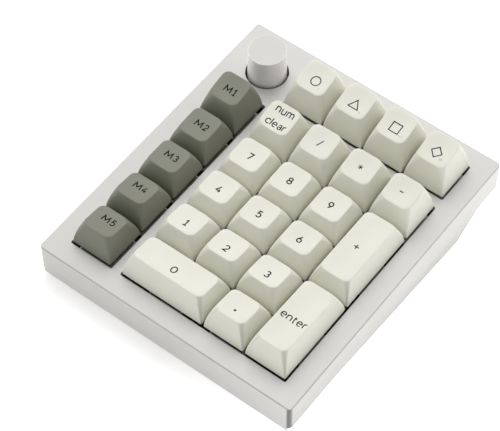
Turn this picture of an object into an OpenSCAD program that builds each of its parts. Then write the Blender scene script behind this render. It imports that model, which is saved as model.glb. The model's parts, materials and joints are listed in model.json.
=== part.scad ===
// Desktop numeric keypad: 26 sprung keys and a turning knob in a wedge-shaped two-part case.
//
// Row frame: the origin is on the table, under the middle of the case. +X is to the right,
// +Y is to the back and +Z is up. Most parts are built in the deck frame and placed by
// on_deck(): its origin is the middle of the deck's top face, and it leans back by the
// typing angle, so keys stand along its Z axis.

/* [Key grid] */
// Distance between the centres of two neighbouring keys
key_pitch = 19.05; // [18.9:0.05:19.2]
// Width of a one-unit keycap at its lower edge
cap_base = 18.1; // [17.9:0.1:18.3]
// Width of a one-unit keycap's top face
cap_top = 12.9; // [12.3:0.1:13]
// Thickness of a keycap's side walls
cap_wall = 1.4; // [1.2:0.1:1.5]
// Thickness of a keycap's top
cap_roof = 2.2; // [2:0.1:2.3]
// How far the dish sinks into a keycap's top face
dish_depth = 0.6; // [0.4:0.1:0.8]
// How far a key travels when it is pressed down
key_travel = 4; // [3.6:0.1:4]

/* [Case] */
// Distance from the key grid to the outside of the case
case_border = 8.7; // [8.5:0.05:8.9]
// Height of the top case's walls
top_case_height = 13.5; // [13.4:0.1:13.8]
// Thickness of the case walls
case_wall = 2.2; // [2:0.1:2.3]
// Thickness of the deck around the keys
deck_thick = 2.5; // [2.2:0.1:2.6]
// Angle between the deck and the table
typing_angle = 5.2; // [4.8:0.1:5.6]
// Radius of the case's upright corners
corner_radius = 2; // [1.5:0.1:2.5]
// Size of the chamfer around the deck's edge
deck_chamfer = 0.4; // [0.3:0.1:0.9]
// Clearance between the key grid and the deck's openings
opening_gap = 0.15; // [0.1:0.05:0.4]
// Extra width of the side column's opening, on its right
side_opening_extra = 0.4; // [0:0.1:0.5]
// How far the bottom case shows below the top case at the front
front_skirt = 1.9; // [1.8:0.1:2.2]
// Length of the flat underside, from the front face
flat_length = 111.8; // [108:0.1:114]
// Distance from the rear face to the top of the sloping undercut
undercut_inset = 3.8; // [3.4:0.1:4.2]
// How far the bottom case stands in from the top case's sides
side_inset = 1.5; // [1.2:0.1:1.8]
// Thickness of the bottom case's floor
floor_thick = 2.2; // [2:0.1:2.3]
// Height of the rubber feet
foot_height = 2; // [1.5:0.1:2.5]

/* [Knob] */
// Diameter of the knob
knob_d = 16; // [15:0.1:16.4]
// Height of the knob's top above the deck
knob_top = 13.5; // [12:0.1:14]
// Diameter of the hole in the deck that the knob stands in
knob_hole_d = 17.5; // [17.2:0.1:18]
// How far the knob can be pressed down
knob_push = 0.5; // [0.3:0.1:0.5]

/* [Levels below the deck] */
// Top of the switch plate
plate_top = -6; // [-6.1:0.1:-6]
// Thickness of the switch plate
plate_thick = 1.5; // [1.4:0.1:1.5]
// Top of the circuit board
board_top = -11; // [-11:0.1:-10.9]
// Thickness of the circuit board
board_thick = 1.6; // [1.5:0.1:1.6]

/* [Hidden] */

// A curve's smoothness, and a small length that lets cutting shapes pass through a face
$fn = 48;
eps = 0.1;

// Colours
case_grey = [0.86, 0.85, 0.84];
cap_cream = [0.90, 0.90, 0.85];
cap_sage = [0.60, 0.61, 0.54];
steel = [0.72, 0.73, 0.75];
brass = [0.80, 0.66, 0.36];
board_green = [0.10, 0.30, 0.20];
black = [0.10, 0.10, 0.11];

// Key grid: the macro column and the knob are at column -1.25, the top row is at row 1.25.
// The grid's outer edges are columns -1.75 and 3.5, and rows -4.5 and 1.75.
grid_left = -1.75;
grid_right = 3.5;
grid_front = -4.5;
grid_back = 1.75;
side_column = -1.25;
top_row = 1.25;
grid_w = (grid_right - grid_left) * key_pitch;
grid_d = (grid_back - grid_front) * key_pitch;
function key_x(column) = (column - (grid_left + grid_right) / 2) * key_pitch;
function key_y(row) = (row - (grid_front + grid_back) / 2) * key_pitch;

// Keycap rows: [front edge y, front edge z, back edge y, back edge z] of the top face,
// from the key's centre on the deck. A two-unit cap's edges move out by half a pitch.
cap_foot_z = 0.4;
profile_low = [-5.75, 11.7, 6.35, 10.0];
profile_mid = [-5.7, 10.2, 6.4, 10.2];
profile_high = [-6.1, 9.9, 6.65, 10.5];
profile_tilted = [-5.8, 12.2, 6.1, 14.8];
profile_top = [-6.15, 12.7, 6.35, 15.9];

// Keys: [name, column, row, width and depth in units, row profile, colour]
keys = [
    ["key_macro_1", side_column, 0, 1, 1, profile_tilted, cap_sage],
    ["key_macro_2", side_column, -1, 1, 1, profile_high, cap_sage],
    ["key_macro_3", side_column, -2, 1, 1, profile_mid, cap_sage],
    ["key_macro_4", side_column, -3, 1, 1, profile_low, cap_sage],
    ["key_macro_5", side_column, -4, 1, 1, profile_low, cap_sage],
    ["key_circle", 0, top_row, 1, 1, profile_top, cap_cream],
    ["key_triangle", 1, top_row, 1, 1, profile_top, cap_cream],
    ["key_square", 2, top_row, 1, 1, profile_top, cap_cream],
    ["key_diamond", 3, top_row, 1, 1, profile_top, cap_cream],
    ["key_num_clear", 0, 0, 1, 1, profile_tilted, cap_cream],
    ["key_divide", 1, 0, 1, 1, profile_tilted, cap_cream],
    ["key_multiply", 2, 0, 1, 1, profile_tilted, cap_cream],
    ["key_minus", 3, 0, 1, 1, profile_tilted, cap_cream],
    ["key_7", 0, -1, 1, 1, profile_high, cap_cream],
    ["key_8", 1, -1, 1, 1, profile_high, cap_cream],
    ["key_9", 2, -1, 1, 1, profile_high, cap_cream],
    ["key_4", 0, -2, 1, 1, profile_mid, cap_cream],
    ["key_5", 1, -2, 1, 1, profile_mid, cap_cream],
    ["key_6", 2, -2, 1, 1, profile_mid, cap_cream],
    ["key_1", 0, -3, 1, 1, profile_low, cap_cream],
    ["key_2", 1, -3, 1, 1, profile_low, cap_cream],
    ["key_3", 2, -3, 1, 1, profile_low, cap_cream],
    ["key_plus", 3, -1.5, 1, 2, profile_mid, cap_cream],
    ["key_enter", 3, -3.5, 1, 2, profile_low, cap_cream],
    ["key_0", 0.5, -4, 2, 1, profile_low, cap_cream],
    ["key_point", 2, -4, 1, 1, profile_low, cap_cream],
];
function key_named(name) = keys[search([name], keys)[0]];

// Case outline and underside
opening_corner_r = 0.6;
case_w = grid_w + 2 * case_border;
case_d = grid_d + 2 * case_border;
front_y = -case_d / 2;
back_y = case_d / 2;
inner_w = case_w - 2 * case_wall;
inner_d = case_d - 2 * case_wall;
flat_end_y = front_y + flat_length;
undercut_y = back_y - undercut_inset;
function underside_z(y) = -top_case_height - front_skirt - (y - front_y) * tan(typing_angle);
undercut_slope = (-top_case_height - underside_z(flat_end_y)) / (undercut_y - flat_end_y);

// Place of the deck's middle in the row frame: the feet are on the table, and the case's
// front-most and rear-most edges are the same distance from the origin
deck_z = foot_height - front_y * sin(typing_angle)
    + (top_case_height + front_skirt) * cos(typing_angle);
deck_y = -(deck_chamfer + top_case_height) * sin(typing_angle) / 2;

// Rubber feet
foot_rows = [-59, 36];
foot_x = 38;
foot_w = 18;
foot_d = 8;
foot_r = 3.9;

// Bottom case: its lip fits inside the top case's walls
lip_gap = 0.15;
lip_thick = 2.1;
lip_height = 2;
lip_w = inner_w - 2 * lip_gap;
lip_d = inner_d - 2 * lip_gap;
hollow_w = lip_w - 2 * lip_thick;
hollow_d = lip_d - 2 * lip_thick;

// Case screws, and the posts and bosses they pass through
screw_x = case_w / 2 - 5.25;
screw_places = [for (side = [-1, 1], y = [-58, 0, 36]) [side * screw_x, y]];
boss_r = 2.8;
boss_end = board_top;
case_screw_r = 1.25;
case_screw_seat = -14;
case_head_r = 2.3;
case_head_h = 1.6;
case_screw_length = 9;
// A level below the whole case, for cuts and posts that run out through its floor
deep = -30;

// Switch plate, its side tabs and the gaskets above and below them
plate_w = 100;
plate_d = 120;
plate_bottom = plate_top - plate_thick;
tab_spans = [[-44, -16], [8, 28]];
tab_reach = 3;
gasket_w = 2.5;
gasket_thick = 1.5;
gasket_in_x = plate_w / 2 + 0.5;

// Circuit board
board_bottom = board_top - board_thick;
board_w = 98;
board_d = 118;
rear_tab_w = 52;
rear_tab_y = 62.6;
standoff_columns = [0.5, 2.5];
standoff_rows = [0.625, -0.5, -2.5];
standoff_places = [for (c = standoff_columns, r = standoff_rows) [key_x(c), key_y(r)]];
standoff_r = 1.6;
small_screw_r = 1;
small_head_r = 1.8;
small_head_h = 1;

// Key switches, from each key's centre
housing_top = plate_top + 6.6;
flange_top = plate_top + 1;
flange_w = 15.6;
body_w = 13.9;
cutout_w = 14;
peg_r = 2;
peg_bottom = -14.3;
stem_shoulder = 0.9;
stem_top = 4.2;
slider_bottom = -3.8;
slider_w = 7;
slider_d = 5.5;
floor_top = -10;
guide_r = 1.2;
pins = [[-3.81, 2.54], [2.54, 5.08]];
pin_hole_r = 0.75;
pin_bottom = -14.2;
socket_bottom = -14.4;
post_r = 2.75;
post_bottom = stem_shoulder + 0.05;

// Stabilisers, along X from a two-unit key's centre: stems at the ends, a steel wire in front
stabiliser_x = 11.9;
wire_r = 0.8;
wire_y = -8.4;
wire_z = -8.6;
wire_swing = 12.8;
wire_arm = 9;
stab_half_w = 3.6;
stab_front = -9.9;
stab_step = -6.6;
stab_back = 6.6;
stab_step_top = -6.4;
stab_slot = 1.1;
stab_top = -1.5;
stab_cavity = [5.8, 6.2];
stab_stem = [5.4, 5.8];
stab_stem_bottom = -9;
pocket_half = 1.8;
pocket_back = 1.5;
two_unit_keys = [for (k = keys) if (k[3] > 1 || k[4] > 1) k];

// Encoder under the knob
encoder_x = key_x(side_column);
encoder_y = key_y(top_row);
shaft_r = 3;
encoder_w = 12;
encoder_hole_w = 13;
encoder_top = board_top + 6.5;
bushing_r = 3.9;
bushing_top = -0.5;
rotor_cavity = [-9.5, -6];
rotor_z = [-9.3, -6.6];
rotor_r = 5;
drive_w = 3.6;
drive_bottom = -10.2;
shaft_bottom = -5.9;
shaft_top = 9;
shaft_flat_x = 1.6;
shaft_flat_bottom = 1;

// Rear openings
port_z = -9.37;
port_w = 8.94;
port_h = 3.26;
mode_x = 18;
mode_z = -9.4;
mode_travel = 2;

// ---- helpers ----

module on_deck() {
    translate([0, deck_y, deck_z]) rotate([typing_angle, 0, 0]) children();
}

// Children stand on the underside's slope at distance y, level with the table
module on_underside(y, up = 0) {
    translate([0, y, underside_z(y) + up]) rotate([-typing_angle, 0, 0]) children();
}

module at_key(k) {
    translate([key_x(k[1]), key_y(k[2]), 0]) children();
}

// Children lie along X with a stabiliser's wire in front, turned for an upright key
module at_stabiliser(k) {
    at_key(k) rotate([0, 0, k[4] > 1 ? -90 : 0]) children();
}

module block(x, y, z) {
    translate([x[0], y[0], z[0]]) cube([x[1] - x[0], y[1] - y[0], z[1] - z[0]]);
}

module block_about(w, d, z) {
    block([-w / 2, w / 2], [-d / 2, d / 2], z);
}

module rod(r, z) {
    translate([0, 0, z[0]]) cylinder(r = r, h = z[1] - z[0]);
}

module rounded_outline(w, d, r) {
    square([w - 2 * r, d], center = true);
    square([w, d - 2 * r], center = true);
    for (x = [-1, 1], y = [-1, 1]) {
        translate([x * (w / 2 - r), y * (d / 2 - r)]) circle(r = r);
    }
}

module rounded_block(w, d, r, z) {
    translate([0, 0, z[0]]) linear_extrude(z[1] - z[0]) rounded_outline(w, d, r);
}

// An outline in (x, z) extruded along Y, and an outline in (y, z) extruded along X
module along_y(points, length) {
    rotate([90, 0, 0]) translate([0, 0, -length / 2]) linear_extrude(length) polygon(points);
}

module along_x(points, length) {
    rotate([90, 0, 90]) translate([0, 0, -length / 2]) linear_extrude(length) polygon(points);
}

module frustum(low, high, z) {
    intersection() {
        along_y([[-low[0] / 2, z[0]], [low[0] / 2, z[0]], [high[0] / 2, z[1]],
            [-high[0] / 2, z[1]]], low[1] + 1);
        along_x([[-low[1] / 2, z[0]], [low[1] / 2, z[0]], [high[1] / 2, z[1]],
            [-high[1] / 2, z[1]]], low[0] + 1);
    }
}

module cross(reach, width, z) {
    block_about(reach, width, z);
    block_about(width, reach, z);
}

// ---- case ----

module deck_openings() {
    g = opening_gap;
    main_x = [key_x(-0.5) - g, key_x(grid_right) + g];
    side_x = [key_x(grid_left) - g, key_x(-0.75) + g + side_opening_extra];
    main_y = [key_y(grid_front) - g, key_y(0.5) + g];
    top_y = [key_y(0.75) - g, key_y(grid_back) + g];
    opening(main_x, main_y);
    opening(side_x, main_y);
    opening(main_x, top_y);
    translate([encoder_x, encoder_y]) rod(knob_hole_d / 2, [-deck_thick - eps, eps]);
}

// One opening through the deck, with its corners rounded
module opening(x, y) {
    translate([(x[0] + x[1]) / 2, (y[0] + y[1]) / 2, 0]) {
        rounded_block(x[1] - x[0], y[1] - y[0], opening_corner_r, [-deck_thick - eps, eps]);
    }
}

module top_case_outside() {
    c = deck_chamfer;
    h = top_case_height;
    w = case_w / 2;
    d = case_d / 2;
    intersection() {
        rounded_block(case_w, case_d, corner_radius, [-h, 0]);
        along_y([[-w, -h], [w, -h], [w, -c], [w - c, 0], [c - w, 0], [-w, -c]], case_d + 1);
        along_x([[-d, -h], [d, -h], [d, -c], [d - c, 0], [c - d, 0], [-d, -c]], case_w + 1);
    }
}

module top_case() {
    ledge_bottom = plate_top + gasket_thick;
    color(case_grey) on_deck() difference() {
        union() {
            difference() {
                top_case_outside();
                block_about(inner_w, inner_d, [-top_case_height - eps, -deck_thick]);
            }
            for (p = screw_places) translate(p) rod(boss_r, [boss_end, -deck_thick + eps]);
            for (side = [0, 1], span = tab_spans) mirror([side, 0, 0]) {
                block([gasket_in_x, inner_w / 2 + eps], span, [ledge_bottom, -deck_thick + eps]);
            }
        }
        deck_openings();
        for (p = screw_places) translate(p) rod(case_screw_r + 0.02, [boss_end - eps, -4]);
        rear_openings();
    }
}

// Openings through the top case's rear wall for the charging port and the mode slider
module rear_openings() {
    wall = [back_y - case_wall - eps, back_y + eps];
    translate([0, (wall[0] + wall[1]) / 2, port_z]) rotate([90, 0, 0]) {
        rounded_block(port_w + 0.6, port_h + 0.6, 1.9, [-case_wall, case_wall]);
    }
    block([mode_x - 3.2, mode_x + 3.2], wall, [mode_z - 1.1, mode_z + 1.1]);
}

module bottom_case_outside() {
    z = -top_case_height;
    along_x([[front_y, z], [front_y, underside_z(front_y)],
        [flat_end_y, underside_z(flat_end_y)], [undercut_y, z]], case_w - 2 * side_inset);
    block_about(lip_w, lip_d, [z - eps, z + lip_height]);
}

module bottom_case_hollow() {
    top = -top_case_height + lip_height + eps;
    front = -hollow_d / 2;
    undercut_in = undercut_y - floor_thick / sin(atan(undercut_slope));
    function slope_z(y) = -top_case_height + undercut_slope * (y - undercut_in);
    fall = tan(typing_angle);
    meet_y = (underside_z(0) + floor_thick + top_case_height + undercut_slope * undercut_in)
        / (undercut_slope + fall);
    along_x([[front, top], [front, underside_z(front) + floor_thick],
        [meet_y, slope_z(meet_y)],
        [undercut_in + (top + top_case_height) / undercut_slope, top]], hollow_w);
    block([-rear_tab_w / 2 - 0.5, rear_tab_w / 2 + 0.5], [50, rear_tab_y + 0.3], [-13.2, top]);
}

module bottom_case() {
    shelf_top = plate_bottom - gasket_thick;
    color(case_grey) on_deck() difference() {
        union() {
            difference() {
                bottom_case_outside();
                bottom_case_hollow();
            }
            intersection() {
                bottom_case_outer_space();
                union() {
                    for (p = screw_places) translate(p) rod(boss_r, [deep, boss_end - 0.1]);
                    for (side = [0, 1], span = tab_spans) mirror([side, 0, 0]) {
                        block([gasket_in_x - 0.2, hollow_w / 2 + 0.5], span, [deep, shelf_top]);
                    }
                }
            }
        }
        for (p = screw_places) translate(p) {
            rod(case_screw_r + 0.2, [deep, eps]);
            rod(case_head_r + 0.3, [deep, case_screw_seat]);
        }
    }
}

// The space above the bottom case's underside, which trims its posts and shelves
module bottom_case_outer_space() {
    along_x([[front_y + 1, 0], [front_y + 1, underside_z(front_y + 1) + 1],
        [flat_end_y, underside_z(flat_end_y) + 1], [flat_end_y, 0]], case_w);
}

module rubber_feet() {
    color(black) on_deck() for (y = foot_rows) {
        on_underside(y) for (x = [-foot_x, foot_x]) {
            translate([x, 0, 0]) rounded_block(foot_w, foot_d, foot_r, [-foot_height, 0]);
        }
    }
}

module case_screws() {
    color(steel) on_deck() for (p = screw_places) translate(p) difference() {
        union() {
            rod(case_screw_r, [case_screw_seat - eps, case_screw_seat + case_screw_length]);
            rod(case_head_r, [case_screw_seat - case_head_h, case_screw_seat]);
        }
        cross(2.4, 0.7, [case_screw_seat - 2, case_screw_seat - 0.8]);
    }
}

module gaskets() {
    x = [gasket_in_x, gasket_in_x + gasket_w];
    color(black) on_deck() for (side = [0, 1], span = tab_spans) mirror([side, 0, 0]) {
        block(x, span, [plate_top, plate_top + gasket_thick]);
        block(x, span, [plate_bottom - gasket_thick, plate_bottom]);
    }
}

// ---- plate, board and foam ----

module stabiliser_cutouts(gap, z) {
    for (k = two_unit_keys) at_stabiliser(k) for (x = [-stabiliser_x, stabiliser_x]) {
        w = stab_half_w + gap;
        block([x - w, x + w], [stab_front - gap, stab_back + gap], z);
    }
}

module switch_plate() {
    z = [plate_bottom - eps, plate_top + eps];
    color(steel) on_deck() difference() {
        union() {
            rounded_block(plate_w, plate_d, 2, [plate_bottom, plate_top]);
            for (span = tab_spans) {
                reach = plate_w / 2 + tab_reach;
                block([-reach, reach], span, [plate_bottom, plate_top]);
            }
        }
        for (k = keys) at_key(k) block_about(cutout_w, cutout_w, z);
        stabiliser_cutouts(0.2, z);
        translate([encoder_x, encoder_y]) block_about(encoder_hole_w, encoder_hole_w, z);
        for (p = standoff_places) translate(p) rod(small_screw_r + 0.1, z);
    }
}

module plate_foam() {
    z = [board_top + 0.3, plate_bottom - 0.3];
    cut = [z[0] - eps, z[1] + eps];
    color([0.20, 0.20, 0.21]) on_deck() difference() {
        block_about(96, 116, z);
        for (k = keys) at_key(k) block_about(body_w + 0.8, body_w + 0.8, cut);
        stabiliser_cutouts(0.5, cut);
        for (k = two_unit_keys) at_stabiliser(k) block([-15, 15], [-10, -6], cut);
        translate([encoder_x, encoder_y]) block_about(encoder_hole_w, encoder_hole_w, cut);
        for (p = standoff_places) translate(p) rod(standoff_r + 0.4, cut);
        block([-rear_tab_w / 2, rear_tab_w / 2], [57.4, 59], cut);
    }
}

module circuit_board() {
    z = [board_bottom, board_top];
    cut = [board_bottom - eps, board_top + eps];
    color(board_green) on_deck() difference() {
        union() {
            block_about(board_w, board_d, z);
            block([-rear_tab_w / 2, rear_tab_w / 2], [0, rear_tab_y], z);
        }
        for (k = keys) at_key(k) {
            rod(peg_r + 0.1, cut);
            for (p = pins) translate(p) rod(pin_hole_r, cut);
        }
        for (k = two_unit_keys) at_stabiliser(k) for (x = [-stabiliser_x, stabiliser_x]) {
            translate([x, 0, 0]) block_about(stab_cavity[0], stab_cavity[1], cut);
        }
        for (p = standoff_places) translate(p) rod(small_screw_r + 0.1, cut);
    }
}

module case_foam() {
    color([0.25, 0.25, 0.26]) on_deck() on_underside(-18, floor_thick + 0.05) {
        block([-47, 47], [-20, 16], [0, 1]);
    }
}

module pcb_standoffs() {
    color(brass) on_deck() for (p = standoff_places) translate(p) difference() {
        rod(standoff_r, [board_top, plate_bottom]);
        rod(small_screw_r + 0.02, [board_top - eps, plate_bottom + eps]);
    }
}

module small_screw(seat, up) {
    translate([0, 0, seat]) mirror([0, 0, up ? 0 : 1]) difference() {
        union() {
            rod(small_screw_r, [-3, eps]);
            rod(small_head_r, [0, small_head_h]);
        }
        cross(1.8, 0.5, [0.5, 2]);
    }
}

module plate_screws() {
    color(steel) on_deck() for (p = standoff_places) translate(p) small_screw(plate_top, true);
}

module pcb_screws() {
    color(steel) on_deck() for (p = standoff_places) translate(p) {
        small_screw(board_bottom, false);
    }
}

// ---- switches ----

module switch_top_housings() {
    color([0.85, 0.88, 0.90, 0.6]) on_deck() for (k = keys) at_key(k) difference() {
        frustum([14, 14], [11.2, 10.4], [flange_top, housing_top]);
        frustum([12, 12], [9.2, 8.4], [flange_top - eps, housing_top - 1]);
        block_about(slider_w + 0.4, slider_d + 0.4, [flange_top, housing_top + eps]);
    }
}

module switch_bottom_housings() {
    color([0.93, 0.93, 0.90]) on_deck() for (k = keys) at_key(k) difference() {
        union() {
            difference() {
                union() {
                    block_about(flange_w, flange_w, [plate_top, flange_top]);
                    block_about(body_w, body_w, [board_top, plate_top + eps]);
                }
                block_about(11, 11, [floor_top, flange_top + eps]);
            }
            rod(peg_r, [peg_bottom, -8.2]);
        }
        rod(guide_r, [-13.3, 0]);
        for (p = pins) translate(p) rod(pin_hole_r, [board_top - eps, floor_top + eps]);
    }
}

module switch_springs() {
    color(steel) on_deck() for (k = keys) at_key(k) difference() {
        rod(2.6, [floor_top, slider_bottom]);
        rod(2.3, [floor_top - eps, slider_bottom + eps]);
    }
}

module switch_contacts() {
    thin = 0.15;
    color(brass) on_deck() for (k = keys) at_key(k) {
        translate(pins[0]) {
            block([-0.5, 0.5], [-thin, thin], [pin_bottom, -9.5]);
            block([-0.5, 0.5], [-thin, 1.05], [-9.8, -9.5]);
            block([-0.5, 2.6], [0.75, 1.05], [-9.8, -5.2]);
        }
        translate(pins[1]) {
            block([-0.5, 0.5], [-thin, thin], [pin_bottom, -6.2]);
            block([-2.4, 0.5], [-thin, thin], [-7.4, -6.2]);
        }
    }
}

module switch_sockets() {
    z = [socket_bottom, board_bottom];
    color(black) on_deck() for (k = keys) at_key(k) difference() {
        union() {
            block([-6.4, -2.2], [0.4, 4.9], z);
            block([-2.3, 4.9], [2.8, 7.2], z);
        }
        for (p = pins) translate(p) rod(pin_hole_r, [socket_bottom - eps, board_bottom + eps]);
    }
}

module diodes() {
    color(black) on_deck() for (k = keys) at_key(k) {
        translate([4.6, -4, 0]) block_about(2.7, 1.6, [board_bottom - 1.1, board_bottom]);
    }
}

// Slider of one key switch: a cross that holds the keycap, a block and a guide pin
module switch_stem() {
    cross(4, 1.25, [stem_shoulder - eps, stem_top]);
    block_about(slider_w, slider_d, [slider_bottom, stem_shoulder]);
    block_about(slider_w + 1.6, slider_d, [slider_bottom, housing_top - 1.15]);
    rod(guide_r - 0.15, [-8.6, slider_bottom + eps]);
}

// ---- stabilisers ----

module stabiliser_housings() {
    w = [-stab_half_w, stab_half_w];
    color(black) on_deck() for (k = two_unit_keys) at_stabiliser(k) {
        for (x = [-stabiliser_x, stabiliser_x]) translate([x, 0, 0]) difference() {
            union() {
                block(w, [stab_step, stab_back], [board_top, stab_top]);
                block(w, [stab_front, stab_step + eps], [board_top + 0.4, stab_step_top]);
            }
            block_about(stab_cavity[0], stab_cavity[1], [board_top - eps, stab_top + eps]);
            block([-stab_slot, stab_slot], [stab_front - eps, -stab_cavity[1] / 2 + eps],
                [board_top - eps, stab_step_top + 0.4]);
            translate([0, wire_y, wire_z]) rotate([0, 90, 0]) rod(wire_r + 0.06, w * 1.1);
        }
    }
}

// Slider at one end of a two-unit key, with a pocket that the wire's arm reaches into
module stabiliser_stem() {
    arm_z = wire_z - wire_y * tan(wire_swing);
    cross(4, 1.25, [stem_shoulder - eps, stem_top]);
    difference() {
        block_about(stab_stem[0], stab_stem[1], [stab_stem_bottom, stem_shoulder]);
        block([-stab_slot, stab_slot], [-stab_stem[1] / 2 - eps, pocket_back],
            [arm_z - pocket_half, arm_z + pocket_half]);
    }
}

module stabiliser_wire(k) {
    color(steel) on_deck() at_stabiliser(k) translate([0, wire_y, wire_z]) {
        rotate([0, 90, 0]) rod(wire_r, [-stabiliser_x, stabiliser_x]);
        for (x = [-stabiliser_x, stabiliser_x]) translate([x, 0, 0]) {
            sphere(r = wire_r);
            rotate([wire_swing - 90, 0, 0]) rod(wire_r, [0, wire_arm]);
        }
    }
}

module stabiliser_wire_plus() {
    stabiliser_wire(key_named("key_plus"));
}

module stabiliser_wire_enter() {
    stabiliser_wire(key_named("key_enter"));
}

module stabiliser_wire_0() {
    stabiliser_wire(key_named("key_0"));
}

// ---- keycaps ----

side_bow = 1.7;
side_steps = 4;
hollow_top_share = 0.8;
// Length of a shape that cuts right across a keycap
cut_span = 60;
base_corner_r = 0.5;
top_corner_r = 2.9;
steps_up = [for (i = [0:side_steps]) i / side_steps];
steps_down = [for (i = [side_steps:-1:0]) i / side_steps];
function mix(a, b, t) = a + (b - a) * t;

// How far a side has moved from its foot (0) to the top face (1) at height t; it bows out
function bowed(t) = pow(t, side_bow);

// Half width across X, and the front and back sides in Y, at height t
function half_x(k, t) = mix(cap_base, cap_top, bowed(t)) / 2 + (k[3] - 1) * key_pitch / 2;
function side_y(k, edge, foot, t) =
    mix(foot * cap_base / 2, edge, bowed(t)) + foot * (k[4] - 1) * key_pitch / 2;
function front_side(k, t) = side_y(k, k[5][0], -1, t);
function back_side(k, t) = side_y(k, k[5][2], 1, t);
function height(top, t) = mix(cap_foot_z, top, t);
function corner_cut(t) = mix(base_corner_r, top_corner_r, bowed(t)) * (sqrt(2) - 1);
function corner_reach(k, y, t) = (half_x(k, t) + abs(y)) / sqrt(2) - corner_cut(t);

// Corner planes: the outline across a diagonal, with the front and back corners at its ends
module corner_planes(k, side) {
    mean_top = (k[5][1] + k[5][3]) / 2;
    points = concat(
        [for (t = steps_up) [-corner_reach(k, front_side(k, t), t), height(mean_top, t)]],
        [[0, mean_top + 12]],
        [for (t = steps_down) [corner_reach(k, back_side(k, t), t), height(mean_top, t)]]);
    rotate([0, 0, side * 45]) along_x(points, 90);
}

module cap_outside(k) {
    mean_top = (k[5][1] + k[5][3]) / 2;
    intersection() {
        along_y(concat(
            [for (t = steps_up) [-half_x(k, t), height(mean_top, t)]],
            [[-half_x(k, 1) * 0.9, mean_top + 3], [half_x(k, 1) * 0.9, mean_top + 3]],
            [for (t = steps_down) [half_x(k, t), height(mean_top, t)]]), cut_span);
        along_x(concat(
            [for (t = steps_up) [front_side(k, t), height(k[5][1], t)]],
            [for (t = steps_down) [back_side(k, t), height(k[5][3], t)]]), cut_span);
        corner_planes(k, 1);
        corner_planes(k, -1);
    }
}

module cap_hollow(k) {
    w = cap_wall;
    foot_z = cap_foot_z;
    below = foot_z - 1;
    roof = min(k[5][1], k[5][3]) - cap_roof;
    t = hollow_top_share;
    foot_x = half_x(k, 0) - w;
    top_x = half_x(k, t) - w;
    intersection() {
        along_y([[-foot_x, below], [-foot_x, foot_z], [-top_x, roof], [top_x, roof],
            [foot_x, foot_z], [foot_x, below]], cut_span);
        along_x([[front_side(k, 0) + w, below], [front_side(k, 0) + w, foot_z],
            [front_side(k, t) + w, roof], [back_side(k, t) - w, roof],
            [back_side(k, 0) - w, foot_z], [back_side(k, 0) - w, below]], cut_span);
    }
}

// The finger dish: a ball on a one-unit cap, a long round bar on a two-unit cap
module cap_dish(k) {
    p = k[5];
    tilt = atan((p[3] - p[1]) / (p[2] - p[0]));
    dish_r = (pow(cap_top / 2, 2) + pow(dish_depth, 2)) / (2 * dish_depth);
    translate([0, (p[0] + p[2]) / 2, (p[1] + p[3]) / 2]) rotate([tilt, 0, 0]) {
        translate([0, 0, dish_r - dish_depth]) {
            if (k[3] > 1) {
                rotate([0, 90, 0]) cylinder(r = dish_r, h = cut_span, center = true, $fn = 96);
            } else if (k[4] > 1) {
                rotate([90, 0, 0]) cylinder(r = dish_r, h = cut_span, center = true, $fn = 96);
            } else {
                rotate([90, 0, 0]) sphere(r = dish_r, $fn = 96);
            }
        }
    }
}

// Places of a key's stems, along its long side
function stem_turn(k) = k[4] > 1 ? -90 : 0;
function is_long(k) = k[3] > 1 || k[4] > 1;

module at_stems(k) {
    places = is_long(k) ? [-stabiliser_x, 0, stabiliser_x] : [0];
    rotate([0, 0, stem_turn(k)]) for (x = places) translate([x, 0, 0]) children();
}

module keycap(k) {
    roof = min(k[5][1], k[5][3]) - cap_roof;
    difference() {
        cap_outside(k);
        difference() {
            cap_hollow(k);
            at_stems(k) rod(post_r, [post_bottom, roof + 1]);
        }
        cap_dish(k);
        at_stems(k) cross(4.1, 1.35, [post_bottom - eps, stem_top + 0.15]);
    }
}

// One key: its keycap, its switch's slider and, on a two-unit key, two stabiliser sliders
module key(name) {
    k = key_named(name);
    on_deck() at_key(k) {
        color(k[6]) keycap(k);
        color([0.75, 0.15, 0.12]) switch_stem();
        if (is_long(k)) color(black) rotate([0, 0, stem_turn(k)]) {
            for (x = [-stabiliser_x, stabiliser_x]) translate([x, 0, 0]) stabiliser_stem();
        }
    }
}

// ---- knob and encoder ----

module at_encoder() {
    on_deck() translate([encoder_x, encoder_y, 0]) children();
}

module encoder_body() {
    color(steel) at_encoder() difference() {
        union() {
            block_about(encoder_w, encoder_w, [board_top, encoder_top]);
            rod(bushing_r, [encoder_top - eps, bushing_top]);
        }
        rod(rotor_r + 0.2, rotor_cavity);
        rod(2.9, [board_top + 0.1, rotor_cavity[0] + eps]);
        rod(shaft_r + 0.05, [rotor_cavity[1] - eps, bushing_top + eps]);
    }
}

module encoder_rotor() {
    color(brass) at_encoder() difference() {
        rod(rotor_r, rotor_z);
        block_about(drive_w + 0.2, drive_w + 0.2, [rotor_z[0] - 1, rotor_z[1] + 1]);
    }
}

// The shaft's square end slides in the rotor; its top has a flat for the knob
module encoder_shaft() {
    color(steel) at_encoder() difference() {
        union() {
            rod(shaft_r, [shaft_bottom, shaft_top]);
            block_about(drive_w, drive_w, [drive_bottom, shaft_bottom + eps]);
        }
        block([shaft_flat_x, 4], [-4, 4], [shaft_flat_bottom, shaft_top + 1]);
    }
}

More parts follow.
